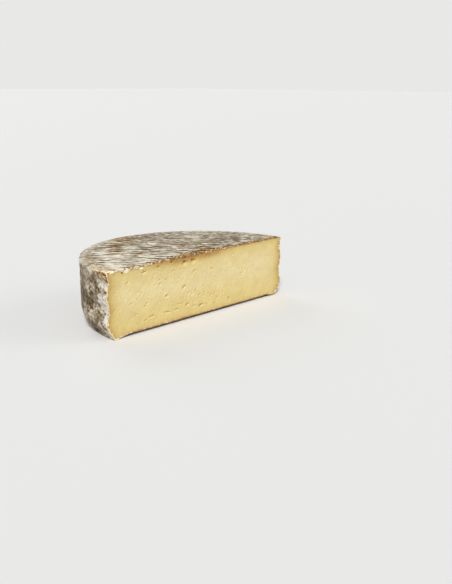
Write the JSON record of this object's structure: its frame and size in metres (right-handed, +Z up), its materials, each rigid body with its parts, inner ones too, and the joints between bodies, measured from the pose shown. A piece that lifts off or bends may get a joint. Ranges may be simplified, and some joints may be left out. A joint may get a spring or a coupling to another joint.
{
  "type": "tomme de savoie half wheel",
  "caption": "Half of a round pressed mountain cheese, cut straight across its middle to show pale paste with scattered small eyes under a dry mottled grey rind.",
  "frame": {"origin": "centre of the underside of the half wheel's bounding box", "axes": "+X along the straight cut, +Y from the cut face towards the back of the rim, +Z up"},
  "size_m": [0.207, 0.1039, 0.055],
  "materials": {
    "rind": "dry, rough, mottled grey-brown natural rind",
    "paste": "soft satin, pale straw cut cheese"
  },
  "bodies": {
    "root": {"half_wheel": "rind"}
  },
  "joints": []
}
